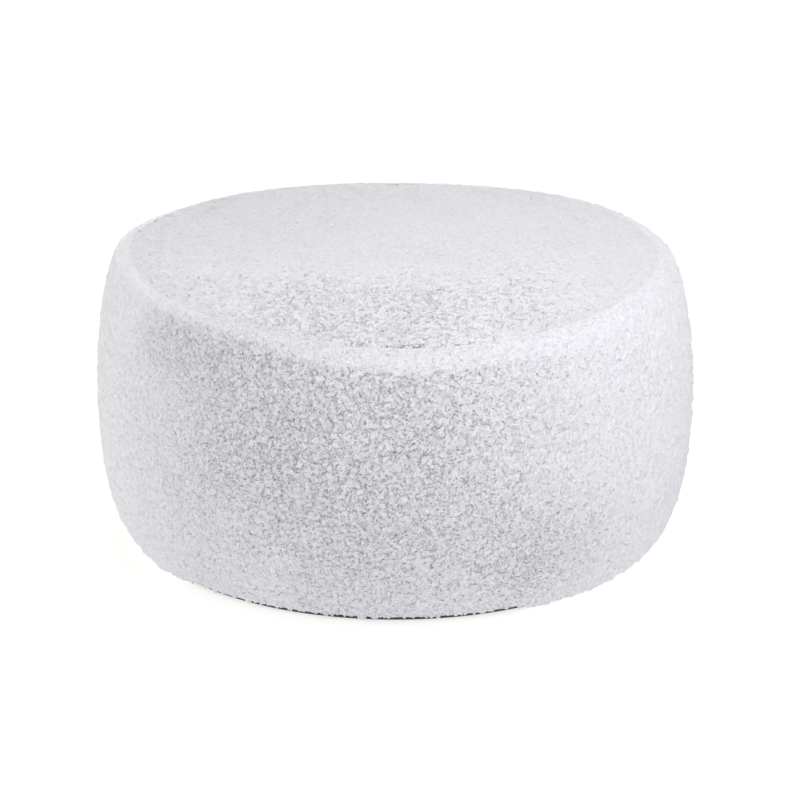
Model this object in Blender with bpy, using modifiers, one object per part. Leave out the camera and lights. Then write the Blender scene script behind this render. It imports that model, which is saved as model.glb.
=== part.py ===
"""Round inflatable pouf in a curly pile cover: a crowned top panel, a barrel-shaped side band and a base panel.

Metres, +Z up. The origin is the middle of the underside, on the surface that the pouf stands on. Its front is
towards -Y. Sizes are taken over the tips of the pile, with the pouf blown up firm.
"""

import math

import bmesh
import bpy

# Driving dimensions
OUTER_RADIUS = 0.270  # of the band at its widest
HEIGHT = 0.265  # floor to the middle of the crowned top
GAP = 0.0003  # between pieces that touch

# Top panel: a crowned disc sewn into the band
SEAM_RADIUS = 0.237
SEAM_HEIGHT = 0.2515  # bottom of the groove between the panel and the band
PANEL_EDGE_HEIGHT = 0.2562  # top of the panel's rounded edge
PANEL_EDGE_ROUND = 0.0050
PANEL_THICKNESS = 0.0100  # backing cloth and pile

# Side band: a raised ridge beside the seam, then the bulging side
RIDGE_HEIGHT = 0.2555
RIDGE_INNER_ROUND = 0.0037  # into the groove
RIDGE_OUTER_ROUND = 0.0120  # over the shoulder
RIDGE_TURN = math.radians(78)  # how far the shoulder turns from level towards upright
WIDEST_HEIGHT = 0.136
SHOULDER_FLARE = 0.0149  # the side leaves the shoulder outwards by this much
SHOULDER_DROP = 0.0310  # for this much down
BULGE_PULL = 0.0110  # how long the side stays upright above its widest line
HEEL_PULL = 0.0940  # the same below it
HEEL_TUCK = 0.0140  # how far the side turns under before its lower seam

# Base panel: a flat disc with a turned-up edge
BASE_RADIUS = 0.2365
BASE_THICKNESS = 0.0030
BASE_EDGE_ROUND = 0.0026
HEEL_RADIUS = 0.2395  # the band's lower edge, just outside the base panel
HEEL_HEIGHT = 0.0036

# Unevenness of the blown-up cover, greatest at the rim and none at the floor
RIM_SAG = 0.0043  # front and back of the rim lie this much lower, its sides this much higher
RIM_OVAL = 0.0026  # the rim reaches this much further out along one diagonal, and less along the other
OVAL_AZIMUTH = math.radians(-45)  # that diagonal, from +X

TURN_STEPS = 72
ARC_STEPS = 5
SIDE_STEPS = 8
CROWN_STEPS = 6

PILE = {"name": "white curly pile", "colour": (0.80, 0.80, 0.83), "roughness": 0.95}
CHARCOAL = {"name": "charcoal base cloth", "colour": (0.055, 0.055, 0.060), "roughness": 0.85}


def clear_scene():
    """Removes whatever the file opened with."""
    for old in list(bpy.data.objects):
        bpy.data.objects.remove(old)


def make_material(finish):
    """A Principled material from a finish's colour and roughness."""
    material = bpy.data.materials.new(finish["name"])
    material.use_nodes = True
    shader = material.node_tree.nodes["Principled BSDF"]
    shader.inputs["Base Color"].default_value = (*finish["colour"], 1.0)
    shader.inputs["Roughness"].default_value = finish["roughness"]
    shader.inputs["Metallic"].default_value = 0.0
    return material


def arc(centre, radius, start, end, steps):
    """Points (radius from the axis, height) round an arc. Angles run from straight up, outwards and down."""
    points = []
    for i in range(steps + 1):
        angle = start + (end - start) * i / steps
        points.append((centre[0] + radius * math.sin(angle), centre[1] + radius * math.cos(angle)))
    return points


def bezier(start, start_pull, end_pull, end, steps):
    """Points on a cubic curve, without its first, which the stretch before it has."""
    points = []
    for i in range(1, steps + 1):
        t = i / steps
        weights = ((1 - t) ** 3, 3 * t * (1 - t) ** 2, 3 * t * t * (1 - t), t**3)
        corners = (start, start_pull, end_pull, end)
        points.append(tuple(sum(w * c[k] for w, c in zip(weights, corners)) for k in (0, 1)))
    return points


def crown(edge, middle_height, steps):
    """A crowned disc's profile from the axis to near its edge: steepest at the edge, level in the middle."""
    rise = middle_height - edge[1]
    radii = [edge[0] * i / steps for i in range(steps)]
    return [(r, edge[1] + rise * (1 - (r / edge[0]) ** 2)) for r in radii]


def top_panel_profile():
    """Down the outside of the crowned disc, round its edge, and back to the axis underneath."""
    wall = SEAM_RADIUS - GAP / 2
    edge_centre = (wall - PANEL_EDGE_ROUND, PANEL_EDGE_HEIGHT - PANEL_EDGE_ROUND)
    outside = crown((edge_centre[0], PANEL_EDGE_HEIGHT), HEIGHT, CROWN_STEPS)
    edge = arc(edge_centre, PANEL_EDGE_ROUND, 0, math.pi / 2, ARC_STEPS)
    underside_edge = (wall, SEAM_HEIGHT - PANEL_THICKNESS / 2)
    underside = crown(underside_edge, HEIGHT - PANEL_THICKNESS, CROWN_STEPS)
    return outside + edge + [underside_edge] + underside[::-1]


def side_band_profile():
    """Under the top panel, up into the groove, over the ridge, down the side and back above the base panel."""
    wall = SEAM_RADIUS + GAP / 2
    floor_edge = (wall, SEAM_HEIGHT - PANEL_THICKNESS / 2 - GAP)
    under_panel = crown(floor_edge, HEIGHT - PANEL_THICKNESS - GAP, CROWN_STEPS)
    inner_centre = (wall + RIDGE_INNER_ROUND, RIDGE_HEIGHT - RIDGE_INNER_ROUND)
    inner = arc(inner_centre, RIDGE_INNER_ROUND, -math.pi / 2, 0, ARC_STEPS)
    outer_centre = (inner_centre[0], RIDGE_HEIGHT - RIDGE_OUTER_ROUND)
    outer = arc(outer_centre, RIDGE_OUTER_ROUND, 0, RIDGE_TURN, ARC_STEPS)[1:]
    shoulder = outer[-1]
    widest = (OUTER_RADIUS, WIDEST_HEIGHT)
    upper = bezier(
        shoulder,
        (shoulder[0] + SHOULDER_FLARE, shoulder[1] - SHOULDER_DROP),
        (OUTER_RADIUS, WIDEST_HEIGHT + BULGE_PULL),
        widest,
        SIDE_STEPS,
    )
    heel = (HEEL_RADIUS, HEEL_HEIGHT)
    lower = bezier(
        widest,
        (OUTER_RADIUS, WIDEST_HEIGHT - HEEL_PULL),
        (HEEL_RADIUS + HEEL_TUCK, HEEL_HEIGHT),
        heel,
        SIDE_STEPS,
    )
    inside_edge = (BASE_RADIUS, BASE_THICKNESS + GAP)
    return under_panel + [floor_edge] + inner + outer + upper + lower + [inside_edge, (0.0, inside_edge[1])]


def base_panel_profile():
    """Over the flat disc, round its edge and back along the floor."""
    edge_centre = (BASE_RADIUS - BASE_EDGE_ROUND, BASE_EDGE_ROUND)
    edge = arc(edge_centre, BASE_EDGE_ROUND, math.pi / 2, math.pi, ARC_STEPS)
    return [(0.0, BASE_THICKNESS), (BASE_RADIUS, BASE_THICKNESS)] + edge + [(0.0, 0.0)]


def settle(point):
    """Moves a point of the ideal turned form to where the uneven, blown-up cover has it."""
    share = point.z / HEIGHT
    azimuth = math.atan2(point.y, point.x)
    reach = math.hypot(point.x, point.y)
    out = RIM_OVAL * share**2 * math.cos(2 * (azimuth - OVAL_AZIMUTH)) * reach / SEAM_RADIUS
    point.z += RIM_SAG * share * math.cos(2 * azimuth) * (reach / SEAM_RADIUS) ** 2
    point.x += out * math.cos(azimuth)
    point.y += out * math.sin(azimuth)


def turned_piece(name, profile, material, collection):
    """Turns a profile round the Z axis with a Screw modifier, keeps the result as a mesh and settles it."""
    outline = bpy.data.meshes.new(name + " profile")
    points = [(radius, 0.0, height) for radius, height in profile]
    outline.from_pydata(points, [(i, i + 1) for i in range(len(points) - 1)], [])
    turned = bpy.data.objects.new(name + " profile", outline)
    collection.objects.link(turned)
    screw = turned.modifiers.new("Turn", "SCREW")
    screw.axis = "Z"
    screw.steps = TURN_STEPS
    screw.render_steps = TURN_STEPS
    screw.use_merge_vertices = True
    screw.merge_threshold = 0.0001
    depsgraph = bpy.context.evaluated_depsgraph_get()
    mesh = bpy.data.meshes.new_from_object(turned.evaluated_get(depsgraph))
    bpy.data.objects.remove(turned)
    bpy.data.meshes.remove(outline)

    shape = bmesh.new()
    shape.from_mesh(mesh)
    for vertex in shape.verts:
        settle(vertex.co)
    shape.to_mesh(mesh)
    shape.free()
    mesh.name = name
    mesh.materials.clear()
    mesh.materials.append(material)
    mesh.shade_smooth()
    mesh.set_sharp_from_angle(angle=math.radians(40))
    piece = bpy.data.objects.new(name, mesh)
    collection.objects.link(piece)
    return piece


def main():
    clear_scene()
    collection = bpy.data.collections.new("inflatable pouf")
    bpy.context.scene.collection.children.link(collection)
    pile = make_material(PILE)
    charcoal = make_material(CHARCOAL)
    turned_piece("top_panel", top_panel_profile(), pile, collection)
    turned_piece("side_band", side_band_profile(), pile, collection)
    turned_piece("base_panel", base_panel_profile(), charcoal, collection)


main()
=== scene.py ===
"""Visual model of a round inflatable pouf in a white curly pile cover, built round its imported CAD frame.

Metres, +Z up, front towards -Y. The cover's smooth form comes from the CAD's sizes, a short cloth simulation
adds the soft unevenness of a blown-up cover, and Geometry Nodes raise the curls of the pile as real geometry.
The pile's material uses the same height function as the geometry, so that gaps, colour and bump agree.
"""

import math

import bpy
import numpy as np
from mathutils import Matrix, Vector


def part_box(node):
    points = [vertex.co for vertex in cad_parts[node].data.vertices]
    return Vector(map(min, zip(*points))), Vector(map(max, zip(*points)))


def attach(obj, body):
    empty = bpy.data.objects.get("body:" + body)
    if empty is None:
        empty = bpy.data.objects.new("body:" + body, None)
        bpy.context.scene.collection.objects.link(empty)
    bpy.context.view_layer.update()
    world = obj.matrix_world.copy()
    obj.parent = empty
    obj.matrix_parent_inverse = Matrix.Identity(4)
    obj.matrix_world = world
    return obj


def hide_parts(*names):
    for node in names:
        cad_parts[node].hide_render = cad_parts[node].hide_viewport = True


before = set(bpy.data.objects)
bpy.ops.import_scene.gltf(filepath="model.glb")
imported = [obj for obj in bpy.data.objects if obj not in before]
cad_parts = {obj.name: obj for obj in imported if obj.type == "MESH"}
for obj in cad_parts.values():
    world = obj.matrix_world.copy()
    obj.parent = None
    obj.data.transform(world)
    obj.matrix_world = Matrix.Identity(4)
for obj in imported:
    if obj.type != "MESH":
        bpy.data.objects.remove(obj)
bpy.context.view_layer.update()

MM = 0.001
TAU = 2 * math.pi

# Sizes of the form, from the CAD's boxes where they give them and otherwise as in the CAD
OUTER_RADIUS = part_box("side_band")[1].x
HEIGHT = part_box("top_panel")[1].z
BASE_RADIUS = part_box("base_panel")[1].x
GAP = 0.3 * MM  # between the band and the base panel
SEAM_RADIUS = 0.237
SEAM_HEIGHT = 0.2515
PANEL_EDGE_HEIGHT = 0.2562
PANEL_EDGE_ROUND = 0.0050
RIDGE_HEIGHT = 0.2555
RIDGE_INNER_ROUND = 0.0037
RIDGE_OUTER_ROUND = 0.0120
RIDGE_TURN = math.radians(78)
WIDEST_HEIGHT = 0.136
SHOULDER_FLARE = 0.0149
SHOULDER_DROP = 0.0310
BULGE_PULL = 0.0110
HEEL_PULL = 0.0940
HEEL_TUCK = 0.0140
HEEL_RADIUS = 0.2395
HEEL_HEIGHT = 0.0036
HEEL_LIFT = 0.0065  # the cover curves up from its lower seam, which leaves the base panel's edge in view
SHOWN_EDGE = 1.5 * MM  # near the front the cover stands this much higher over the base panel's edge
BASE_THICKNESS = 0.0030
BASE_EDGE_ROUND = 0.0026
BASE_RIM = 0.012  # how much of the base panel's upper face is made, round its edge
WALL_DEPTH = 0.0050  # how far the cloth turns down inside the seam
SEAM_PLAY = 0.02 * MM  # between the panel's and the band's cloth at the seam
RIDGE_FOOT = 0.239  # height where the combed ridge ends on the side

# Unevenness of the blown-up cover
RIM_SAG = 0.0043
RIM_OVAL = 0.0026
OVAL_AZIMUTH = math.radians(-45)
RIM_LOBES = 0.0024  # three soft corners round the rim
LOBE_AZIMUTH = math.radians(-83.2)
FRONT_TILT = 0.0065  # the rim's rise for each metre towards the back
RIM_DENTS = (  # azimuth from the front, half width, how far in and how far down the rim is pressed there
    (1.94, 0.35, 4.0 * MM, 1.5 * MM),
    (-1.60, 0.28, 0.0 * MM, -2.5 * MM),
    (-2.15, 0.35, 1.5 * MM, 2.5 * MM),
    (3.05, 0.70, 0.0 * MM, 1.5 * MM),
)

# Steps of the profiles' stretches
CROWN_STEPS = 200
PANEL_EDGE_STEPS = 24
RIDGE_INNER_STEPS = 20
SHOULDER_STEPS = 40
UPPER_SIDE_STEPS = 120
LOWER_SIDE_STEPS = 160
BASE_EDGE_STEPS = 16

# Grids
SIDE_START = -0.75 * math.pi  # azimuth of the front piece's left edge
SIDE_COLUMNS = 1416
SIDE_ROWS = 240
TOP_CELLS = 368
BASE_CELLS = 100

# Cloth simulation of the blown-up cover
CAGE_COLUMNS = 120
CAGE_TOP_RINGS = 20
CAGE_SIDE_RINGS = 30
CLOTH_FRAMES = 20
CLOTH_REACH = 4 * MM  # the furthest it may move a point
CLOTH_FIRST_WAVE = 4  # the broader waves round the cover belong to its form, above
SEAM_WANDER = 0.5 * MM  # unevenness of the seam's thread
CLOTH = {
    "quality": 6,
    "mass": 0.3,
    "tension_stiffness": 20.0,
    "compression_stiffness": 20.0,
    "shear_stiffness": 10.0,
    "bending_stiffness": 0.6,
    "tension_damping": 15.0,
    "compression_damping": 15.0,
    "shear_damping": 15.0,
    "use_pressure": True,
    "uniform_pressure_force": 4.0,
    "shrink_min": -0.015,  # the cloth is this much larger than the form it is blown up in
    "vertex_group_mass": "pins",
}

# The seam's groove, by azimuth from the front, positive towards +X. Four azimuths are where something starts,
# is full, begins to fade and has ended. Two are where it starts and is full.
SEAM_SHOWS = (-0.32, -0.12, 0.36, 0.52)
# Where the groove deepens and darkens with painted shade, and where that eases again
SEAM_DARKENS = (-0.25, 0.0)
SEAM_PALES = (0.24, 0.46)
SEAM_PALE = 0.6  # how much of the groove's depth and painted shade that takes


# ---------------- form

def smooth(value, low, high):
    """0 up to low, 1 from high on, and a soft rise between them."""
    t = np.clip((value - low) / (high - low), 0, 1)
    return t * t * (3 - 2 * t)


def between(value, start, full, fade, end):
    """1 from full to fade, 0 up to start and from end on, and soft between those."""
    return smooth(value, start, full) * (1 - smooth(value, fade, end))


def arc(centre, radius, start, end, steps):
    """Points (radius from the axis, height) round an arc. Angles run from straight up, outwards and down."""
    angle = np.linspace(start, end, steps)
    return np.stack([centre[0] + radius * np.sin(angle), centre[1] + radius * np.cos(angle)], 1)


def bezier(corners, steps):
    """Points on a cubic curve, without its first, which the stretch before it has."""
    t = np.linspace(0, 1, steps)[1:, None]
    a, b, c, d = (np.array(p) for p in corners)
    return a * (1 - t) ** 3 + b * 3 * t * (1 - t) ** 2 + c * 3 * t * t * (1 - t) + d * t**3


def crown(edge, middle_height, steps):
    """A crowned disc's profile from the axis to near its edge."""
    radius = np.linspace(0, edge[0], steps)[:-1]
    return np.stack([radius, edge[1] + (middle_height - edge[1]) * (1 - (radius / edge[0]) ** 2)], 1)


def top_profile():
    """(radius, height) from the middle of the top panel to the bottom of its seam."""
    wall = SEAM_RADIUS - SEAM_PLAY / 2
    centre = (wall - PANEL_EDGE_ROUND, PANEL_EDGE_HEIGHT - PANEL_EDGE_ROUND)
    return np.vstack([
        crown((centre[0], PANEL_EDGE_HEIGHT), HEIGHT, CROWN_STEPS),
        arc(centre, PANEL_EDGE_ROUND, 0, math.pi / 2, PANEL_EDGE_STEPS),
        [(wall, SEAM_HEIGHT - WALL_DEPTH)],
    ])


def side_profile():
    """From the bottom of the seam over the ridge, down the side and in over the base panel's edge."""
    wall = SEAM_RADIUS + SEAM_PLAY / 2
    inner = (wall + RIDGE_INNER_ROUND, RIDGE_HEIGHT - RIDGE_INNER_ROUND)
    outer = (inner[0], RIDGE_HEIGHT - RIDGE_OUTER_ROUND)
    shoulder = arc(outer, RIDGE_OUTER_ROUND, 0, RIDGE_TURN, SHOULDER_STEPS)
    start, widest, heel = shoulder[-1], (OUTER_RADIUS, WIDEST_HEIGHT), (HEEL_RADIUS, HEEL_HEIGHT)
    start_pull = (start[0] + SHOULDER_FLARE, start[1] - SHOULDER_DROP)
    heel_pull = (HEEL_RADIUS + HEEL_TUCK, HEEL_HEIGHT + HEEL_LIFT)
    return np.vstack([
        [(wall, SEAM_HEIGHT - WALL_DEPTH)],
        arc(inner, RIDGE_INNER_ROUND, -math.pi / 2, 0, RIDGE_INNER_STEPS)[:-1],
        shoulder,
        bezier((start, start_pull, (OUTER_RADIUS, WIDEST_HEIGHT + BULGE_PULL), widest), UPPER_SIDE_STEPS),
        bezier((widest, (OUTER_RADIUS, WIDEST_HEIGHT - HEEL_PULL), heel_pull, heel), LOWER_SIDE_STEPS),
        [(BASE_RADIUS, BASE_THICKNESS + GAP)],
    ])


def base_profile():
    """From inside the base panel's top round its edge to the middle of its underside."""
    centre = (BASE_RADIUS - BASE_EDGE_ROUND, BASE_EDGE_ROUND)
    return np.vstack([
        [(BASE_RADIUS - BASE_RIM, BASE_THICKNESS), (centre[0], BASE_THICKNESS)],
        arc(centre, BASE_EDGE_ROUND, 0, math.pi, BASE_EDGE_STEPS),
        [(0, 0)],
    ])


class Profile:
    """A profile read by travel, the distance along it."""

    def __init__(self, points):
        self.points = points
        step = np.hypot(*np.diff(points, axis=0).T)
        self.travel = np.concatenate([[0], np.cumsum(step)])
        self.length = self.travel[-1]

    def at(self, travel):
        """(radius, height) there."""
        return tuple(np.interp(travel, self.travel, self.points[:, k]) for k in (0, 1))

    def travel_at_height(self, height):
        """Travel of the side's outer face at a height."""
        ridge = np.argmax(self.points[:, 1])
        return float(np.interp(-height, -self.points[ridge:, 1], self.travel[ridge:]))

    def travel_at_radius(self, radius):
        """Travel of the wall inside the side's seam at a radius."""
        ridge = np.argmax(self.points[:, 1])
        return float(np.interp(radius, self.points[:ridge, 0], self.travel[:ridge]))


def from_front(azimuth):
    """Azimuth from the front, positive towards +X."""
    return (azimuth + math.pi / 2 + math.pi) % TAU - math.pi


def settle(radius, height, azimuth):
    """Points of the turned form, moved to where the uneven, blown-up cover has them."""
    share = height / HEIGHT
    reach = radius / SEAM_RADIUS
    oval = RIM_OVAL * np.cos(2 * (azimuth - OVAL_AZIMUTH))
    out = share**2 * reach * (oval + RIM_LOBES * np.cos(3 * (azimuth - LOBE_AZIMUTH)))
    x, y = radius * np.cos(azimuth), radius * np.sin(azimuth)
    z = height + share * (RIM_SAG * np.cos(2 * azimuth) * reach**2 + FRONT_TILT * y)
    for place, width, inwards, down in RIM_DENTS:
        off = (from_front(azimuth) - place + math.pi) % TAU - math.pi
        dent = np.exp(-(off / width) ** 2) * share**3 * reach**3
        out = out - inwards * dent
        z = z - down * dent
    return np.stack([x + out * np.cos(azimuth), y + out * np.sin(azimuth), z], -1)


def seam_open(front):
    """1 where the groove beside the ridge shows, near the front, and 0 where the pile closes over it."""
    return between(front, *SEAM_SHOWS)


def seam_depth_and_shade(front):
    """How deep the bottom of that groove is cut, and how much painted shade lies in it."""
    return smooth(front, *SEAM_DARKENS) * (1 - SEAM_PALE * smooth(front, *SEAM_PALES)) * seam_open(front)


def close_groove(height, inside, front):
    """Heights with the groove filled up where the pile closes over it. inside is 1 in the groove."""
    dip = np.maximum(RIDGE_HEIGHT - height, 0) * inside
    return height + dip * (1 - seam_open(front))


def disc_grid(cells):
    """(share of the radius, azimuth) over a square grid wrapped onto a disc, with cells of equal area."""
    a, b = np.meshgrid(np.linspace(-1, 1, cells + 1), np.linspace(-1, 1, cells + 1))
    wide = np.abs(a) >= np.abs(b)
    reach = np.where(wide, a, b)
    safe = np.where(reach == 0, 1, reach)
    angle = np.where(wide, math.pi / 4 * b / safe, math.pi / 2 - math.pi / 4 * a / safe)
    return np.abs(reach), angle + np.where(reach < 0, math.pi, 0)


def grid_faces(rows, columns):
    """Quads of a grid of that many points each way."""
    index = np.arange(rows * columns).reshape(rows, columns)
    return np.stack([index[:-1, :-1], index[:-1, 1:], index[1:, 1:], index[1:, :-1]], -1).reshape(-1, 4)


def join_faces(rows, columns):
    """Quads that join a grid's last column to its first."""
    first = np.arange(rows) * columns
    last = first + columns - 1
    return np.stack([last[:-1], first[:-1], first[1:], last[1:]], -1)


# ---------------- meshes

def make_mesh(name, points, faces):
    """A smooth-shaded mesh from an array of points and one of faces, which all have as many corners."""
    mesh = bpy.data.meshes.new(name)
    points, faces = np.asarray(points, np.float32).reshape(-1, 3), np.asarray(faces, np.int32)
    mesh.vertices.add(len(points))
    mesh.vertices.foreach_set("co", points.ravel())
    mesh.loops.add(faces.size)
    mesh.loops.foreach_set("vertex_index", faces.ravel())
    mesh.polygons.add(len(faces))
    mesh.polygons.foreach_set("loop_start", np.arange(0, faces.size, faces.shape[1], dtype=np.int32))
    mesh.update(calc_edges=True)
    mesh.shade_smooth()
    return mesh


def make_object(name, data):
    """Puts a mesh, a light or a camera into the scene."""
    made = bpy.data.objects.new(name, data)
    bpy.context.scene.collection.objects.link(made)
    return made


def add_attribute(mesh, name, values):
    """Stores a number or a vector for each point."""
    values = np.asarray(values, np.float32)
    vector = values.size == 3 * len(mesh.vertices)
    layer = mesh.attributes.new(name, "FLOAT_VECTOR" if vector else "FLOAT", "POINT")
    layer.data.foreach_set("vector" if vector else "value", values.ravel())


def read_points(mesh):
    points = np.empty(len(mesh.vertices) * 3, np.float32)
    mesh.vertices.foreach_get("co", points)
    return points.reshape(-1, 3)


def read_normals(mesh):
    normals = np.empty(len(mesh.vertices) * 3, np.float32)
    mesh.vertex_normals.foreach_get("vector", normals)
    return normals.reshape(-1, 3)


# ---------------- camera, light and floor

CAMERA_ELEVATION = math.radians(20.06)
CAMERA_DISTANCE = 2.96
CAMERA_TARGET = (0.0041, 0, 0.1215)
CAMERA_DROP = 0.00575  # how far below the target the middle of the picture is
CAMERA_LENS = 146.0  # this and the sensor's width are in millimetres
CAMERA_SENSOR = 36.0

NEUTRAL, WARM = (1.0, 1.0, 1.0), (0.98, 1.0, 0.90)
LIGHTS = {  # place, size, power, colour
    "over": ((0.3, -0.4, 1.3), 0.8, 7.4, NEUTRAL),
    "right": ((0.8, -0.55, 0.95), 0.5, 1.65, NEUTRAL),
    "front": ((0.3, -1.5, 1.3), 0.9, 6.4, NEUTRAL),
    "left": ((-1.5, -0.6, 1.2), 0.9, 5.2, WARM),
    "back_left": ((-2.4, 1.6, 1.2), 1.4, 18, WARM),
    "back": ((0.0, 2.8, 2.0), 2.0, 45, NEUTRAL),
}
LIGHTS_TARGET = (0, 0, 0.13)
SURROUND_COLOUR = (0.98, 0.985, 1.0, 1.0)
SURROUND = 1.05  # brightness low in the studio
AMBIENT = 0.01  # brightness high in the studio
SURROUND_EDGE = (0.22, 0.5)  # upward part of the directions where the first ends and the second begins
FLOOR_SIDES = 96
FLOOR_RINGS = (0.5, 2.0, 8.0, 60.0)
FLOOR_COLOUR = (0.4, 0.4, 0.4, 1)
GLOW_COLOUR = (1.0, 1.0, 0.98, 1)
FLOOR_GLOW = 0.716  # of the floor round the pouf, where the lights reach it
FAR_GLOW = 1.03  # of the floor where they no longer do
GLOW_EDGE = (1.4, 3.2)  # distances from the pouf where the first ends and the second begins


def look_at(made, target):
    """Turns a camera or a light to a point."""
    made.rotation_mode = "QUATERNION"
    made.rotation_quaternion = (Vector(target) - made.location).to_track_quat("-Z", "Y")


def make_camera():
    back = Vector((0, -math.cos(CAMERA_ELEVATION), math.sin(CAMERA_ELEVATION)))
    up = Vector((0, math.sin(CAMERA_ELEVATION), math.cos(CAMERA_ELEVATION)))
    target = Vector(CAMERA_TARGET) - up * CAMERA_DROP
    camera = bpy.data.cameras.new("camera")
    camera.lens, camera.sensor_width = CAMERA_LENS, CAMERA_SENSOR
    made = make_object("camera", camera)
    made.location = target + back * CAMERA_DISTANCE
    look_at(made, target)
    bpy.context.scene.camera = made


def make_lights():
    """Soft lights, and a surround that is pale near the horizon and dark above."""
    for name, (place, size, power, colour) in LIGHTS.items():
        light = bpy.data.lights.new(name, "AREA")
        light.energy, light.size, light.color = power, size, colour
        made = make_object(name, light)
        made.location = place
        made.visible_camera = False
        look_at(made, LIGHTS_TARGET)

    world = bpy.data.worlds.new("studio")
    bpy.context.scene.world = world
    world.use_nodes = True
    net = Net(world.node_tree)
    direction = net.node("ShaderNodeTexCoord").outputs["Generated"]
    up = net.node("ShaderNodeSeparateXYZ", {"Vector": direction}).outputs["Z"]
    background = world.node_tree.nodes["Background"]
    background.inputs["Color"].default_value = SURROUND_COLOUR
    net.plug(background.inputs["Strength"], net.span(up, *SURROUND_EDGE, SURROUND, AMBIENT, smooth=True))
    bpy.context.scene.view_settings.view_transform = "Standard"


def make_floor():
    """A wide round floor that glows more where the lights no longer reach it, so that it stays even."""
    angle = np.linspace(0, TAU, FLOOR_SIDES + 1)[:-1]
    points = [(r * math.cos(a), r * math.sin(a), 0.0) for r in FLOOR_RINGS for a in angle] + [(0, 0, 0)]
    inner = np.arange((len(FLOOR_RINGS) - 1) * FLOOR_SIDES).reshape(-1, FLOOR_SIDES)
    outer, turned = inner + FLOOR_SIDES, np.roll(inner, -1, 1)
    quads = np.stack([inner, outer, turned + FLOOR_SIDES, turned], -1).reshape(-1, 4)
    middle = [(int(a), int(b), len(points) - 1) for a, b in zip(inner[0], turned[0])]
    mesh = bpy.data.meshes.new("floor")
    mesh.from_pydata(points, [], middle + quads.tolist())
    material, net, shader = new_material("studio floor")
    shader.inputs["Base Color"].default_value = FLOOR_COLOUR
    shader.inputs["Roughness"].default_value = 1.0
    shader.inputs["Specular IOR Level"].default_value = 0.0
    shader.inputs["Emission Color"].default_value = GLOW_COLOUR
    place = net.node("ShaderNodeTexCoord").outputs["Object"]
    distance = net.node("ShaderNodeVectorMath", {0: place}, operation="LENGTH").outputs["Value"]
    glow = net.span(distance, *GLOW_EDGE, FLOOR_GLOW, FAR_GLOW, smooth=True)
    net.plug(shader.inputs["Emission Strength"], glow)
    mesh.materials.append(material)
    make_object("floor", mesh)


# ---------------- node helpers

class Net:
    """Adds nodes to a shader or geometry tree. A value may be a number or another node's output."""

    def __init__(self, tree):
        self.tree = tree

    def plug(self, socket, value):
        """Links an output to a socket, or sets the socket to a number, vector or colour."""
        if isinstance(value, bpy.types.NodeSocket):
            self.tree.links.new(value, socket)
        else:
            socket.default_value = value

    def node(self, kind, inputs=(), **settings):
        """Adds a node. Its inputs go by name or number."""
        made = self.tree.nodes.new(kind)
        for key, value in settings.items():
            setattr(made, key, value)
        for key, value in dict(inputs).items():
            self.plug(made.inputs[key], value)
        return made

    def math(self, operation, a, b=0.0, c=0.0, clamp=False):
        return self.node("ShaderNodeMath", {0: a, 1: b, 2: c}, operation=operation, use_clamp=clamp).outputs[0]

    def vector(self, operation, a, b=(0, 0, 0), c=(0, 0, 0)):
        return self.node("ShaderNodeVectorMath", {0: a, 1: b, 2: c}, operation=operation).outputs[0]

    def scale(self, a, amount):
        return self.node("ShaderNodeVectorMath", {0: a, "Scale": amount}, operation="SCALE").outputs[0]

    def mix_colour(self, factor, a, b):
        return self.node("ShaderNodeMix", {0: factor, 6: a, 7: b}, data_type="RGBA").outputs[2]

    def noise(self, place, size, detail=0.0, rough=0.5):
        """Noise about 0.5 with features about size across. outputs[0] is a number, outputs[1] a vector."""
        return self.node("ShaderNodeTexNoise",
                         {"Vector": place, "Scale": 1 / size, "Detail": detail, "Roughness": rough})

    def swing(self, place, size, detail=0.0, rough=0.5):
        """The same noise as a number about 0."""
        return self.math("SUBTRACT", self.noise(place, size, detail, rough).outputs[0], 0.5)

    def drift(self, place, size, detail=0.0):
        """The same noise as a vector about 0."""
        return self.vector("SUBTRACT", self.noise(place, size, detail).outputs[1], (0.5, 0.5, 0.5))

    def span(self, value, low, high, to_low=0.0, to_high=1.0, smooth=False):
        """The value's place between low and high, as one between to_low and to_high."""
        ends = {"Value": value, "From Min": low, "From Max": high, "To Min": to_low, "To Max": to_high}
        kind = "SMOOTHSTEP" if smooth else "LINEAR"
        return self.node("ShaderNodeMapRange", ends, interpolation_type=kind).outputs[0]

    def attribute(self, name, kind):
        """A value stored on the mesh's points. kind is FLOAT or FLOAT_VECTOR."""
        if isinstance(self.tree, bpy.types.GeometryNodeTree):
            made = self.node("GeometryNodeInputNamedAttribute", {"Name": name}, data_type=kind)
            return made.outputs["Attribute"]
        made = self.node("ShaderNodeAttribute", attribute_name=name)
        return made.outputs["Fac" if kind == "FLOAT" else "Vector"]

    def number(self, name):
        return self.attribute(name, "FLOAT")

    def place(self, name):
        return self.attribute(name, "FLOAT_VECTOR")


def new_material(name):
    """A material with a Principled shader, as (material, net, shader)."""
    material = bpy.data.materials.new(name)
    material.use_nodes = True
    return material, Net(material.node_tree), material.node_tree.nodes["Principled BSDF"]


# ---------------- the pile
#
# The pile is read from these values on the cover's points:
#   rest          the place on the smooth cover
#   comb, lie     that place, stretched along the way the pile is combed over the ridge and lies elsewhere
#   ridge         1 where it is combed over the ridge
#   loose         1 where it stands open, 0 where it lies closed; open pile shows more painted shade in its gaps
#   depth         how much of its full length it has
#   cleft         1 down in the seam's groove, where it deepens the groove and paints shade into it
#   pale          how much paler its tips are: painted highlight and painted shade
#   puff          how far it swells out in soft mounds, in metres
#   hang, bridge  how far it hangs down at the heel, everywhere and in the odd tuft, in metres
#   grow          the direction it grows in
#   pile          its height as the mesh holds it, which the geometry stores for the material

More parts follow.
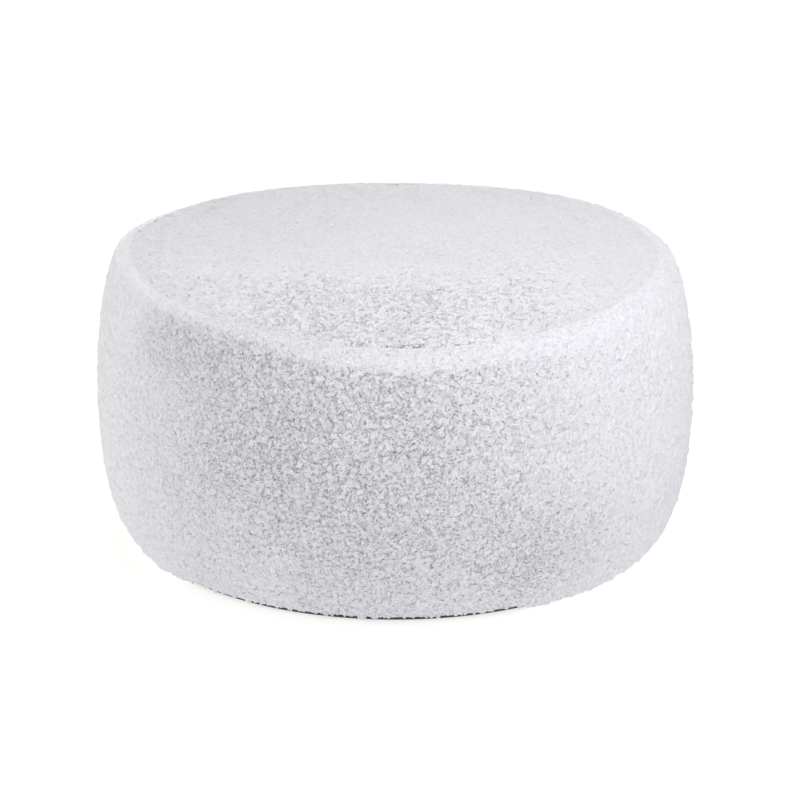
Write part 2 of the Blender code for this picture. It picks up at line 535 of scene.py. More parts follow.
PILE_LENGTH = 1.5 * MM  # what a height of 1 stands for
TIP = 0.78  # the height that lies on the smooth cover
SEAM_DEPTH = 0.75  # how much of the pile's length is left over the closed seam
SEAM_LOOSE = 0.45  # how open it stands there
LOWEST_CURL = 0.4 * MM  # no curl comes closer to the floor

# Its height. Each noise has a size, and a height or a level above which it does something
CURL = 0.8  # the curls' own height over the backing
BEND_SIZE = 6 * MM  # of the winding of the gaps between them
BEND_REACH = 8 * MM
LUMP_SIZE = 4 * MM
LUMP = 0.4
TUFT_LUMPS = (0.06, 0.24)  # lumps this high stand out as tufts
CRACK_LEVEL = (0.68, -0.30, 0.13)  # where the gaps open: level, what loose pile adds to it, and its softness
PIT_LEVEL = (0.79, -0.25, 0.10)  # the same for the pits
PIT_OFFSET = (0.3, 0.1, 0.2)
WAVE_SIZE = 7 * MM
WAVE = 0.16
STREAK_SIZE = 3.2 * MM  # over the ridge
CLEFT = 0.7  # depth of the seam's groove
BRIDGE_SIZE = 8 * MM
BRIDGE_LEVEL = (0.38, 0.58)  # where tufts bridge that groove

# How it moves the mesh
SWAY_SIZE = 4 * MM
SWAY = 1.8 * MM  # how far curls lean sideways
PUFF_SIZE = 7 * MM
HANG_SIZE = 7 * MM
ODD_SIZE = 5 * MM
ODD_LEVEL = (0.60, 0.70)  # where the odd tuft hangs

# Its finish, with painted shade in the gaps between the curls
TIP_COLOURS = ((0.732, 0.721, 0.770, 1), (0.883, 0.870, 0.928, 1))  # dull and pale
# painted shade: the near-black colour that the gaps between the curls are given
GAP_SHADE_COLOUR = (0.06, 0.06, 0.07, 1)
GAP_HEIGHTS = (-0.17, 0.38)  # the gaps' painted shade is full up to the first, and gone from the second on
CLOSED_GAP_SHADE = 0.13  # how much of the gaps' painted shade shows in closed pile
LOOSE_GAP_SHADE = 0.26  # how much more painted shade shows in open pile
CLEFT_SHADE = 0.3  # and more painted shade in the seam's groove
TONE = 0.4  # 0 is dull and 1 pale, before clouds, speckles and the attribute pale, with its painted highlight and painted shade, move it
CLOUD_SIZE = 40 * MM
CLOUD = 0.2
SPECKLE_SIZE = 3 * MM
GRAIN_SIZE = 1.6 * MM  # of the unevenness of gaps and roughness
GRAINS = (-0.3, 0.3)  # its range
GRAIN_ROUGHNESS = (0.85, 1.0)  # over that range
FIBRE_SIZE = 1.2 * MM  # of the bump's fibres
FIBRE = 0.6

# What differs between the side and the top
SIDE_CURLS = {
    "cracks": (  # size of the curls between, gain, size of the patches they come in, offset of those, depth
        (4.0 * MM, 6.0, 3.0 * MM, (0.0, 0.0, 0.0), 0.35),
        (2.2 * MM, 4.4, 2.0 * MM, (0.1, 0.2, 0.3), 0.30),
    ),
    "pits": (2.4 * MM, 0.50),  # size, depth
    "tufts": 0.5,  # how far the odd tuft stands out
    "speckle": 2.4,  # unevenness of the tips' colour
}
TOP_CURLS = {
    "cracks": (
        (5.2 * MM, 9.0, 7.0 * MM, (0.0, 0.0, 0.0), 0.72),
        (3.2 * MM, 6.0, 4.0 * MM, (0.1, 0.2, 0.3), 0.25),
    ),
    "pits": (2.6 * MM, 0.45),
    "tufts": 0.3,
    "speckle": 1.6,
}


def crack(net, place, size, gain):
    """1 along thin winding lines, and 0 away from them."""
    away = net.math("ABSOLUTE", net.swing(place, size))
    return net.math("SUBTRACT", 1.0, net.math("MULTIPLY", away, gain, clamp=True))


def above(net, noise, level, loose, soft):
    """1 where a noise is above a level that changes by as much as loose says in open pile, and soft below."""
    low = net.math("MULTIPLY_ADD", net.number("loose"), loose, level)
    return net.span(noise, low, net.math("ADD", low, soft), smooth=True)


def cleft_share(net, rest):
    """How much of the seam's groove shows: tufts bridge it here and there."""
    tufts = net.span(net.noise(rest, BRIDGE_SIZE, 2.0).outputs[0], *BRIDGE_LEVEL, smooth=True)
    return net.math("MULTIPLY", tufts, net.number("cleft"))


def pile_height(net, curls):
    """The pile's height over its backing: about 0 at the bottom of a gap and 0.8 on the curls."""
    rest = net.place("rest")
    place = net.vector("MULTIPLY_ADD", net.drift(rest, BEND_SIZE, 1.0), (BEND_REACH,) * 3, rest)
    lump = net.swing(place, LUMP_SIZE, 1.0)
    height = net.math("MULTIPLY_ADD", lump, LUMP, CURL)
    height = net.math("MULTIPLY_ADD", net.span(lump, *TUFT_LUMPS, smooth=True), curls["tufts"], height)
    for size, gain, patch, offset, deep in curls["cracks"]:
        spread = net.noise(net.vector("ADD", rest, offset), patch, 1.0).outputs[0]
        here = above(net, spread, *CRACK_LEVEL)
        line = net.math("MULTIPLY", crack(net, place, size, gain), here)
        height = net.math("MULTIPLY_ADD", line, -deep, height)
    size, deep = curls["pits"]
    pit = net.noise(net.vector("ADD", place, PIT_OFFSET), size, 1.0).outputs[0]
    pit = above(net, pit, *PIT_LEVEL)
    height = net.math("MULTIPLY_ADD", pit, -deep, height)
    height = net.math("MULTIPLY_ADD", net.swing(net.place("lie"), WAVE_SIZE, 1.0), WAVE, height)
    streak = net.swing(net.place("comb"), STREAK_SIZE, 2.0, 0.6)
    height = net.math("MULTIPLY_ADD", streak, net.number("ridge"), height)
    return net.math("MULTIPLY_ADD", cleft_share(net, rest), -CLEFT, height)


def pile_modifier(curls):
    """Geometry Nodes that raise the pile on a cover."""
    tree = bpy.data.node_groups.new("raise pile", "GeometryNodeTree")
    for way in ("INPUT", "OUTPUT"):
        tree.interface.new_socket("Geometry", in_out=way, socket_type="NodeSocketGeometry")
    net = Net(tree)
    rest, depth, grow = net.place("rest"), net.number("depth"), net.place("grow")
    height = pile_height(net, curls)
    rise = net.math("MULTIPLY", net.math("SUBTRACT", height, TIP), net.math("MULTIPLY", depth, PILE_LENGTH))
    lean = net.scale(net.drift(rest, SWAY_SIZE), net.math("MULTIPLY", depth, SWAY))
    move = net.vector("ADD", net.scale(grow, rise), lean)
    puff = net.math("MULTIPLY", net.swing(rest, PUFF_SIZE, 1.0), net.number("puff"))
    move = net.vector("ADD", move, net.scale(grow, puff))
    tuft = net.math("MULTIPLY", net.noise(rest, HANG_SIZE, 1.0).outputs[0], net.number("hang"))
    odd = net.span(net.noise(rest, ODD_SIZE, 1.0).outputs[0], *ODD_LEVEL, smooth=True)
    tuft = net.math("MULTIPLY_ADD", odd, net.number("bridge"), tuft)
    drop = net.node("ShaderNodeCombineXYZ", {"Z": net.math("MULTIPLY", tuft, -1.0)}).outputs[0]
    move = net.vector("ADD", move, drop)
    source, sink = net.node("NodeGroupInput"), net.node("NodeGroupOutput")
    kept = net.node("GeometryNodeStoreNamedAttribute",
                    {"Geometry": source.outputs[0], "Name": "pile", "Value": height}, data_type="FLOAT")
    placed = net.node("GeometryNodeSetPosition", {"Geometry": kept.outputs[0], "Offset": move})
    net.plug(sink.inputs[0], placed.outputs[0])
    return tree


# ---------------- materials

THREAD = 2.4 * MM  # the base cloth's threads are half of this apart
THREAD_DEPTH = 0.3 * MM
SLUB_SIZE = 3 * MM  # of the unevenness of the threads
SLUBS, SLUB_ROUGHNESS = (0.2, 0.8), (0.75, 0.95)
CHARCOALS = ((0.030, 0.028, 0.031, 1), (0.085, 0.082, 0.088, 1))


def pile_material(name, curls):
    """Curly pile, with painted shade in its gaps. Its bump is only for what the mesh is too coarse to hold."""
    material, net, shader = new_material(name)
    rest = net.place("rest")
    height = pile_height(net, curls)
    missing = net.math("SUBTRACT", height, net.number("pile"))
    relief = net.math("MULTIPLY_ADD", net.swing(rest, FIBRE_SIZE, 1.0, 0.6), FIBRE, missing)
    relief = net.math("MULTIPLY", relief, net.number("depth"))
    bump = net.node("ShaderNodeBump", {"Strength": 1.0, "Distance": PILE_LENGTH, "Height": relief})
    net.plug(shader.inputs["Normal"], bump.outputs[0])

    grain = net.swing(rest, GRAIN_SIZE, 1.0, 0.6)
    # painted shade: low in the pile and down in the seam's groove, the colour darkens towards the gaps' colour
    shut = net.span(net.math("ADD", grain, height), *GAP_HEIGHTS, 1.0, 0.0, smooth=True)
    dark = net.math("MULTIPLY_ADD", net.number("loose"), LOOSE_GAP_SHADE, CLOSED_GAP_SHADE)
    dark = net.math("MULTIPLY_ADD", cleft_share(net, rest), CLEFT_SHADE, dark)
    tone = net.math("MULTIPLY_ADD", net.noise(rest, CLOUD_SIZE, 2.0).outputs[0], CLOUD, TONE)
    # the attribute pale adds painted highlight and painted shade to the tips' tone
    tone = net.math("ADD", tone, net.number("pale"))
    speckle = net.swing(rest, SPECKLE_SIZE, 2.0, 0.7)
    tone = net.math("MULTIPLY_ADD", speckle, curls["speckle"], tone, clamp=True)
    tips = net.mix_colour(tone, *TIP_COLOURS)
    net.plug(shader.inputs["Base Color"], net.mix_colour(net.math("MULTIPLY", shut, dark), tips, GAP_SHADE_COLOUR))
    net.plug(shader.inputs["Roughness"], net.span(grain, *GRAINS, *GRAIN_ROUGHNESS))
    shader.inputs["Sheen Weight"].default_value = 0.3
    shader.inputs["Sheen Roughness"].default_value = 0.5
    shader.inputs["Specular IOR Level"].default_value = 0.2
    return material


def weave_material():
    """Plain charcoal weave with uneven threads."""
    material, net, shader = new_material("charcoal base cloth")
    rest = net.place("rest")
    parts = net.node("ShaderNodeSeparateXYZ", {"Vector": rest})
    threads = []
    for axis in ("X", "Y"):
        wave = net.math("SINE", net.math("MULTIPLY", parts.outputs[axis], TAU / THREAD))
        threads.append(net.math("ABSOLUTE", wave))
    weave = net.math("MAXIMUM", *threads)
    slub = net.noise(rest, SLUB_SIZE, 3.0, 0.6).outputs[0]
    bump = net.node("ShaderNodeBump", {"Strength": 0.6, "Distance": THREAD_DEPTH, "Height": weave})
    net.plug(shader.inputs["Normal"], bump.outputs[0])
    net.plug(shader.inputs["Base Color"], net.mix_colour(net.math("MULTIPLY", weave, slub), *CHARCOALS))
    net.plug(shader.inputs["Roughness"], net.span(slub, *SLUBS, *SLUB_ROUGHNESS))
    shader.inputs["Sheen Weight"].default_value = 0.1
    shader.inputs["Specular IOR Level"].default_value = 0.3
    return material


# ---------------- blowing the cover up

class Field:
    """A vector on every point of a polar grid, read between the points with smooth curves."""

    def __init__(self, values):
        self.values = values  # rings, columns, (outwards, sideways, up)

    def at(self, share, azimuth):
        """Offsets in x, y, z at a share of the way along the profile and an azimuth."""
        rings, columns = self.values.shape[:2]
        total = 0
        for i, across in catmull_rom(share * (rings - 1)):
            i = np.clip(i, 0, rings - 1)
            for j, along in catmull_rom(azimuth / TAU * columns):
                total = total + self.values[i, j % columns] * (across * along)[..., None]
        return turn(total, azimuth)


def catmull_rom(place):
    """The four grid lines round each place, with their weights."""
    base = np.floor(place).astype(int)
    f = place - base
    weights = ((-f + 2 * f**2 - f**3) / 2, (2 - 5 * f**2 + 3 * f**3) / 2,
               (f + 4 * f**2 - 3 * f**3) / 2, (f**3 - f**2) / 2)
    return [(base + k - 1, weight) for k, weight in enumerate(weights)]


def turn(vectors, azimuth):
    """Vectors turned round the upright axis."""
    x, y, z = np.moveaxis(vectors, -1, 0)
    c, s = np.cos(azimuth), np.sin(azimuth)
    return np.stack([x * c - y * s, x * s + y * c, z], -1)


def evaluated_mesh(made):
    """An object's mesh with its modifiers applied."""
    return bpy.data.meshes.new_from_object(made.evaluated_get(bpy.context.evaluated_depsgraph_get()))


def remove(made):
    """Removes an object and its mesh."""
    mesh = made.data
    bpy.data.objects.remove(made)
    bpy.data.meshes.remove(mesh)


def ring(k):
    """Numbers of the cage's points on its ring k. Point 0 is the middle of the top."""
    return 1 + k * CAGE_COLUMNS + np.arange(CAGE_COLUMNS)


def cage_rings(azimuth):
    """Points of the cover's form on the cage's rings, for the top and for the side."""
    rings = []
    for points, count in ((top_profile(), CAGE_TOP_RINGS), (side_profile(), CAGE_SIDE_RINGS)):
        profile = Profile(points)
        t, a = np.meshgrid(np.linspace(0, 1, count), azimuth, indexing="ij")
        rings.append(settle(*profile.at(t * profile.length), a))
    return rings


def seam_thread():
    """Soft random offsets of the points along the seam."""
    thread = np.random.default_rng(7).normal(size=(CAGE_COLUMNS, 3))
    for _ in range(2):
        thread = (thread + np.roll(thread, 1, 0) + np.roll(thread, -1, 0)) / 3
    return thread * SEAM_WANDER


def make_cage(points, seam, last):
    """The cover as a coarse cloth under pressure, pinned on the rings of its upper and its lower seam."""
    middle = [(0, a, b) for a, b in zip(ring(0), np.roll(ring(0), -1))]
    quads = []
    for k in range(last):
        quads += zip(ring(k), ring(k + 1), np.roll(ring(k + 1), -1), np.roll(ring(k), -1))
    mesh = bpy.data.meshes.new("cage")
    mesh.from_pydata(points.tolist(), [], middle + quads)
    cage = make_object("cage", mesh)
    pins = cage.vertex_groups.new(name="pins")
    pins.add([int(i) for k in (seam, last) for i in ring(k)], 1.0, "REPLACE")
    cloth = cage.modifiers.new("cloth", "CLOTH")
    for key, value in CLOTH.items():
        setattr(cloth.settings, key, value)
    cloth.settings.effector_weights.gravity = 0.0
    cloth.collision_settings.use_collision = False
    cloth.point_cache.frame_end = CLOTH_FRAMES
    return cage


def blow_up():
    """Soft unevenness of the cover from a cloth simulation, as fields for the top and the side."""
    azimuth = np.linspace(0, TAU, CAGE_COLUMNS + 1)[:-1]
    top, side = cage_rings(azimuth)
    seam = CAGE_TOP_RINGS - 2  # the middle isn't a ring but a point
    last = seam + CAGE_SIDE_RINGS - 1
    form = np.concatenate([top[0, :1], top[1:].reshape(-1, 3), side[1:].reshape(-1, 3)])
    points = form.copy()
    points[ring(seam)] += seam_thread()
    cage = make_cage(points, seam, last)
    for number in range(1, CLOTH_FRAMES + 1):
        bpy.context.scene.frame_set(number)
    blown = evaluated_mesh(cage)
    offset = (read_points(blown) - form)[1:].reshape(-1, CAGE_COLUMNS, 3)
    bpy.data.meshes.remove(blown)
    remove(cage)
    bpy.context.scene.frame_set(1)

    offset = turn(offset, -azimuth)
    waves = np.fft.rfft(offset, axis=1)
    waves[:, :CLOTH_FIRST_WAVE] = 0
    offset = np.fft.irfft(waves, CAGE_COLUMNS, axis=1)
    length = np.linalg.norm(offset, axis=-1, keepdims=True)
    offset = offset * np.minimum(1, CLOTH_REACH / np.maximum(length, 1e-9))
    middle = np.zeros((1, CAGE_COLUMNS, 3))
    return Field(np.concatenate([middle, offset[:seam + 1]])), Field(offset[seam:])


# ---------------- the cover

GEOMETRY_ONLY = ("puff", "hang", "bridge")  # values of the pile that its material doesn't read
BAKE_EDGES = (0.004, 0.996)  # of the UV map


class Cover:
    """A grid of points with the pile raised on it, from which the pieces are cut."""

    def __init__(self, name, points, faces, values, upright, curls):
        """Where upright is 1, on the rows that turn down inside the closed seam, the pile grows upwards."""
        self.shape = points.shape[:2]
        mesh = make_mesh(name, points, faces)
        grow = lift(read_normals(mesh), upright)
        grow /= np.maximum(np.linalg.norm(grow, axis=1, keepdims=True), 0.1)
        add_attribute(mesh, "grow", grow)
        for key, value in values.items():
            add_attribute(mesh, key, value)
        made = make_object(name, mesh)
        made.modifiers.new("pile", "NODES").node_group = pile_modifier(curls)
        raised = evaluated_mesh(made)
        remove(made)

        self.points = read_points(raised)
        self.points[:, 2] = np.maximum(self.points[:, 2], LOWEST_CURL)
        raised.vertices.foreach_set("co", self.points.ravel())
        raised.update()
        self.normals = lift(read_normals(raised), upright)
        pile = np.empty(len(self.points), np.float32)
        raised.attributes["pile"].data.foreach_get("value", pile)
        bpy.data.meshes.remove(raised)
        self.values = {key: value for key, value in values.items() if key not in GEOMETRY_ONLY}
        self.values["pile"] = pile

    def cut(self, name, rows, columns, material, flip=False):
        """A piece from some of the rows and columns, with the whole cover's normals."""
        def part(values):
            values = values.reshape(*self.shape, -1)
            return values[rows][:, columns].reshape(-1, values.shape[-1])

        faces = grid_faces(len(rows), len(columns))
        if flip:
            faces = faces[:, ::-1]
        mesh = make_mesh(name, part(self.points), faces)
        for key, values in self.values.items():
            add_attribute(mesh, key, part(values))
        add_bake_map(mesh, len(rows), len(columns), faces)
        mesh.normals_split_custom_set_from_vertices(part(self.normals))
        mesh.materials.append(material)
        return make_object(name, mesh)


def lift(directions, upright):
    """Directions turned upwards where upright is 1."""
    upright = upright.reshape(-1, 1)
    return directions * (1 - upright) + np.array([0.0, 0.0, 1.0]) * upright


def add_bake_map(mesh, rows, columns, faces):
    """A UV map that spreads a grid over the whole square."""
    layer = mesh.uv_layers.new(name="OFBake")
    v, u = np.meshgrid(np.linspace(*BAKE_EDGES, rows), np.linspace(*BAKE_EDGES, columns), indexing="ij")
    corners = np.stack([u.ravel(), v.ravel()], 1)[faces.ravel()]
    layer.uv.foreach_set("vector", corners.astype(np.float32).ravel())


# ---------------- the side
#
# Its zones go by azimuth from the front, as the seam's do, and those on the left are counted towards the left.
# Those of its lower part go by shares of the way down its profile. Other distances are along the profile.

# Worn pile lies closed
WORN_RIGHT = (-0.05, 1.15)
WORN_LEFT = (0.35, 1.25)
WORN_BACK = (1.8, 2.7)  # where both give way again
BACK_SAVES = 0.6  # how much less worn it is behind them
HIGH = (-16 * MM, -6 * MM, 15 * MM, 60 * MM)  # high up on the left it is less worn, from the ridge's foot
HIGH_LEFT = (0.88, 1.12)  # where that ends towards the left
HIGH_SAVES = 0.7
FAR_LEFT = (0.95, 1.3, 1.8, 2.7)
LOWER = (0.6, 0.9)
LOW_LEFT = (0.2, 0.5, 0.55, 0.75)
LOW_LEFT_DOWN = (0.45, 0.7)
LOW_RIGHT = (0.2, 0.45, 0.7, 1.1)
LOW_RIGHT_DOWN = (0.5, 0.75)
LOW_RIGHT_FADES = (0.8, 0.95)
LOW_RIGHT_FADE = 0.6  # how much less of it there is from there on
PUFF = 4 * MM  # swelling of worn pile

# How much less open the pile is in each zone, and how much more at the lower right
WORN_CLOSES = 0.7
FAR_LEFT_CLOSES = 0.2
RIDGE_CLOSES = 0.6
RIDGE_LEFT = (0.2, 0.7)  # where the ridge closes it by less
RIDGE_LEFT_OPENS = 0.2
LOWER_CLOSES = 0.25
LOW_LEFT_CLOSES = 0.2
LOW_RIGHT_OPENS = 0.45

# How deep it is
CLOSED_DEPTH = 0.65  # against 1 where it is open
RIDGE_FLATTENS = 0.1
GROOVE_FLATTENS = 0.4
HEEL_FLATTENS = 0.7
LOW_RIGHT_DEEPENS = 0.1

# How pale its tips are: a painted highlight along the ridge and painted shade on the lower part
RIDGE_PAINTED_HIGHLIGHT = 0.12
LOWER_PAINTED_SHADE = 0.2

# The ridge, from its top to its foot
RIDGE_START = 4 * MM  # before its top
RIDGE_NARROWS = ((9 * MM, 0.1, 0.5), (4 * MM, 0.5, 0.9))  # how far its foot rises, and where on the left
RIDGE_RAGGED = 1.2 * MM  # unevenness of its foot
RIDGE_WAVES = ((13, 0), (31, 1), (67, 2))  # waves round the cover of that unevenness, and their phase
RIDGE_FADE = (5 * MM, 11 * MM)  # softness of its foot, at the front and elsewhere
RIDGE_SOFTENS = (0.3, 0.9)  # between the two
RIDGE_FADE_BELOW = 0.4  # how much of it lies below the foot

# The seam, the heel and the base
GROOVE_END = (-9 * MM, -2 * MM)  # from the ridge's top
CLEFT_END = -1 * MM
SEAM_END = 4 * MM  # of the closed pile, from the end of its wall
UPRIGHT_END = 2 * MM
HEEL_END = (-5 * MM, -1 * MM)  # from the lower seam
HEEL = (-16 * MM, -4 * MM)
BASE_SHOWS = (-0.95, -0.80, 0.42, 0.56)  # where the base panel's edge shows
BRIDGE = 3 * MM  # how far the odd tuft hangs over that edge
HANG = 6 * MM  # how far the pile hangs down elsewhere
CLOTH_FREE = (0, 14 * MM, -40 * MM, -12 * MM)  # where the cloth moves, from the wall's end to the lower seam

# The way it lies, as shear and stretch of its places
COMB = (2.0, 0.3)
LIE = (0.9, 0.28)
LIE_TURNS = (-0.5, 0.6)  # where that shear begins and is full


def side_pile(profile, t, front):
    """The pile's values at a travel and an azimuth from the front, but for places, and where it is upright."""
    left, end, shows = -front, profile.length, seam_open(front)
    ridge_top, ridge_foot = profile.travel_at_height(RIDGE_HEIGHT), profile.travel_at_height(RIDGE_FOOT)
    wall_end = profile.travel_at_radius(SEAM_RADIUS + MM)

    def lower_part(start, full):
        return smooth(t, end * start, end * full)

    def from_place(place, *steps):
        return [place + step for step in steps]

    # How worn the pile is
    high = between(t, *from_place(ridge_foot, *HIGH)) * (1 - smooth(left, *HIGH_LEFT))
    worn = np.where(front > 0, smooth(front, *WORN_RIGHT), smooth(left, *WORN_LEFT) * (1 - HIGH_SAVES * high))
    worn *= 1 - BACK_SAVES * smooth(np.abs(front), *WORN_BACK)
    fresh = 1 - WORN_CLOSES * worn - FAR_LEFT_CLOSES * between(left, *FAR_LEFT)

    # The ridge, the groove beside it and the closed seam
    foot = ridge_foot
    for rise, start, full in RIDGE_NARROWS:
        foot = foot - rise * smooth(left, start, full)
    foot = foot + RIDGE_RAGGED * sum(np.sin(waves * front + phase) for waves, phase in RIDGE_WAVES)
    fade = RIDGE_FADE[0] + (RIDGE_FADE[1] - RIDGE_FADE[0]) * smooth(np.abs(front), *RIDGE_SOFTENS)
    ridge = between(t, ridge_top - RIDGE_START, ridge_top, foot - fade, foot + fade * RIDGE_FADE_BELOW)
    groove = shows * (1 - smooth(t, *from_place(ridge_top, *GROOVE_END)))
    seam = (1 - shows) * (1 - smooth(t, wall_end, wall_end + SEAM_END))

    # The lower part
    lower = lower_part(*LOWER)
    low_left = between(left, *LOW_LEFT) * lower_part(*LOW_LEFT_DOWN)
    low_right = between(front, *LOW_RIGHT) * lower_part(*LOW_RIGHT_DOWN)
    low_right *= 1 - LOW_RIGHT_FADE * lower_part(*LOW_RIGHT_FADES)
    heel, base_shows = smooth(t, *from_place(end, *HEEL)), between(front, *BASE_SHOWS)

    depth = CLOSED_DEPTH + (1 - CLOSED_DEPTH) * fresh
    depth = depth * (1 - RIDGE_FLATTENS * ridge) * (1 - GROOVE_FLATTENS * groove)
    depth = depth * (1 - seam) + SEAM_DEPTH * seam
    depth *= 1 - HEEL_FLATTENS * smooth(t, *from_place(end, *HEEL_END))
    depth *= 1 + LOW_RIGHT_DEEPENS * low_right
    loose = fresh * (1 - (RIDGE_CLOSES - RIDGE_LEFT_OPENS * smooth(left, *RIDGE_LEFT)) * ridge)
    loose *= 1 - LOWER_CLOSES * lower - LOW_LEFT_CLOSES * low_left + LOW_RIGHT_OPENS * low_right
    values = {
        "ridge": ridge,
        "depth": depth,
        "loose": loose * (1 - seam) + SEAM_LOOSE * seam,
        "cleft": seam_depth_and_shade(front) * (1 - smooth(t, wall_end, ridge_top + CLEFT_END)),
        "hang": heel * (1 - base_shows) * HANG,
        "bridge": heel * base_shows * BRIDGE,
        # painted highlight along the ridge and painted shade on the lower part, in the tips' colour
        "pale": RIDGE_PAINTED_HIGHLIGHT * ridge - LOWER_PAINTED_SHADE * lower,
        "puff": PUFF * worn * (1 - seam) * (1 - ridge),
    }
    return values, (1 - shows) * (1 - smooth(t, wall_end, wall_end + UPRIGHT_END))


def swept(t, azimuth, shear, stretch):
    """Places on an upright cylinder, sheared round it and stretched along its height."""
    turned = azimuth - shear * t / OUTER_RADIUS
    return np.stack([OUTER_RADIUS * np.cos(turned), OUTER_RADIUS * np.sin(turned), t * stretch], -1)


def make_side(blown, material):
    """The side band in four pieces."""
    profile = Profile(side_profile())
    azimuth = np.linspace(SIDE_START, SIDE_START + TAU, SIDE_COLUMNS + 1)[:-1]
    t, a = np.meshgrid(np.linspace(0, profile.length, SIDE_ROWS), azimuth, indexing="ij")
    front, end = from_front(a), profile.length
    radius, height = profile.at(t)
    height = close_groove(height, t < profile.travel_at_height(RIDGE_HEIGHT), front)
    rest = settle(radius, height, a)
    values, upright = side_pile(profile, t, front)
    values["rest"] = rest
    values["comb"] = swept(t, a, *COMB)
    values["lie"] = swept(t, a, LIE[0] * smooth(front, *LIE_TURNS), LIE[1])

    wall_end = profile.travel_at_radius(SEAM_RADIUS + MM)
    start, full, fade, stop = CLOTH_FREE
    free = between(t, wall_end + start, wall_end + full, end + fade, end + stop)
    points = rest + blown.at(t / end, a) * free[..., None]
    points[..., 2] += smooth(t, end + HEEL[0], end + HEEL[1]) * between(front, *BASE_SHOWS) * SHOWN_EDGE

    faces = np.concatenate([grid_faces(SIDE_ROWS, SIDE_COLUMNS), join_faces(SIDE_ROWS, SIDE_COLUMNS)])
    cover = Cover("side", points, faces[:, ::-1], values, upright, SIDE_CURLS)
    pieces = []
    quarter = SIDE_COLUMNS // 4
    for k, name in enumerate(("side_front", "side_right", "side_back", "side_left")):
        columns = np.arange(k * quarter, (k + 1) * quarter + 1) % SIDE_COLUMNS
        pieces.append(cover.cut(name, np.arange(SIDE_ROWS), columns, material, flip=True))
    return pieces


# ---------------- the top

# Its pile stands open towards the front, where a painted highlight also makes its tips paler. Reach is how far
# forward a point lies, with more of it on both sides.
REACH = (-0.05, -0.97)  # for each metre in x and in y
REACH_LEFT = (0.12, 0.5)  # from this far to the left, so much for each metre
REACH_RIGHT = (0.03, 0.35)
FORWARD = (0.02, 0.15)  # reach from which it begins to stand open, and does
FORWARD_SHARE = 1.08
CLOSES_RIGHT = ((0.3, 0.02, 0.07), (0.7, 0.12, 0.19))  # how much less open, and between which x
CLOSES_LEFT = (0.45, 0.08, 0.20)  # the same, towards the left
TOP_OPEN = 0.85
TOP_DEPTH = 1.1
# painted shade over the whole top's tips, and a painted highlight towards its front
TOP_PAINTED_SHADE = 0.25
FORWARD_PAINTED_HIGHLIGHT = 0.50
FORWARD_FLATTENS = 0.1
TOP_LIE = (0.4, 1.0, 1.0)  # stretch of the places along the way the pile lies

# Its seam, from a place a little above its wall
WALL_ROUND = 2 * MM
TOP_SEAM = (-4 * MM, 0)
NEAR_SEAM = (-22 * MM, -6 * MM)
NEAR_SEAM_CLOSES = 0.25
TOP_CLEFT = (-8 * MM, -1 * MM)
TOP_UPRIGHT = (-2 * MM, 0)
TOP_PINNED = (-14 * MM, 0)  # where the cloth's movement ends
TOP_GROOVE = (-7 * MM, 0)


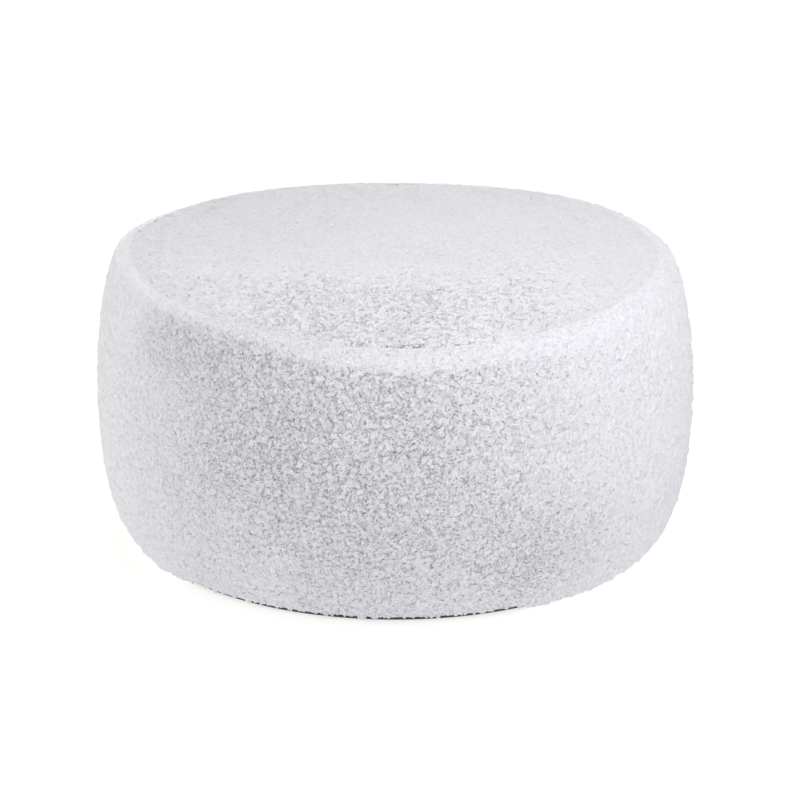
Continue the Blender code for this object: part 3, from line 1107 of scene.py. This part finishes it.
def top_pile(profile, travel, rest, front):
    """Values of the top's pile, where it is upright, and where the cloth is free to move."""
    def from_wall(steps):
        return smooth(travel, *(profile.length - WALL_DEPTH - WALL_ROUND + step for step in steps))

    x, y, shows = rest[..., 0], rest[..., 1], seam_open(front)
    reach = REACH[1] * y + REACH[0] * x
    for side, (start, share) in ((-x, REACH_LEFT), (x, REACH_RIGHT)):
        reach = reach + share * np.maximum(0, side - start)
    forward = FORWARD_SHARE * smooth(reach, *FORWARD)
    forward *= 1 - sum(less * smooth(x, start, full) for less, start, full in CLOSES_RIGHT)
    forward *= 1 - CLOSES_LEFT[0] * smooth(-x, *CLOSES_LEFT[1:])
    seam, near_seam = (1 - shows) * from_wall(TOP_SEAM), (1 - shows) * from_wall(NEAR_SEAM)
    depth = (TOP_DEPTH - FORWARD_FLATTENS * forward) * (1 - GROOVE_FLATTENS * shows * from_wall(TOP_GROOVE))
    loose = TOP_OPEN * forward * (1 - NEAR_SEAM_CLOSES * near_seam)
    nothing = np.zeros_like(x)
    values = {
        "rest": rest,
        "comb": rest,
        "lie": rest * np.array(TOP_LIE),
        "ridge": nothing,
        "depth": depth * (1 - seam) + SEAM_DEPTH * seam,
        "loose": loose * (1 - seam) + SEAM_LOOSE * seam,
        "cleft": seam_depth_and_shade(front) * from_wall(TOP_CLEFT),
        "hang": nothing,
        "bridge": nothing,
        # painted highlight towards the front, left out near the closed seam, over painted shade on the whole
        # top
        "pale": FORWARD_PAINTED_HIGHLIGHT * forward * (1 - near_seam) * (1 - seam) - TOP_PAINTED_SHADE,
        "puff": nothing,
    }
    return values, (1 - shows) * from_wall(TOP_UPRIGHT), 1 - from_wall(TOP_PINNED)


def make_top(blown, material):
    """The top panel in two pieces."""
    profile = Profile(top_profile())
    share, azimuth = disc_grid(TOP_CELLS)
    travel, front = share * profile.length, from_front(azimuth)
    radius, height = profile.at(travel)
    height = close_groove(height, radius > SEAM_RADIUS - PANEL_EDGE_ROUND, front)
    rest = settle(radius, height, azimuth)
    values, upright, free = top_pile(profile, travel, rest, front)
    points = rest + blown.at(share, azimuth) * free[..., None]
    count, half = TOP_CELLS + 1, TOP_CELLS // 2
    cover = Cover("top", points, grid_faces(count, count), values, upright, TOP_CURLS)
    halves = {"top_front": np.arange(half + 1), "top_back": np.arange(half, count)}
    return [cover.cut(name, rows, np.arange(count), material) for name, rows in halves.items()]


# ---------------- the base and the whole

def make_base(material):
    """The base panel's cloth: its rim, the turned-up edge and the underside."""
    profile = Profile(base_profile())
    share, azimuth = disc_grid(BASE_CELLS)
    radius, height = profile.at((1 - share) * profile.length)
    points = np.stack([radius * np.cos(azimuth), radius * np.sin(azimuth), height], -1)
    count = BASE_CELLS + 1
    faces = grid_faces(count, count)[:, ::-1]
    mesh = make_mesh("base_cloth", points, faces)
    add_bake_map(mesh, count, count, faces)
    add_attribute(mesh, "rest", points)
    mesh.materials.append(material)
    return make_object("base_cloth", mesh)


make_camera()
make_lights()
make_floor()
side_material = pile_material("white curly pile", SIDE_CURLS)
top_material = pile_material("white curly pile, top", TOP_CURLS)
blown_top, blown_side = blow_up()

for piece in make_top(blown_top, top_material):
    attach(piece, "root")
    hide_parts("top_panel")
for piece in make_side(blown_side, side_material):
    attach(piece, "root")
    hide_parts("side_band")
base = make_base(weave_material())
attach(base, "root")
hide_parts("base_panel")
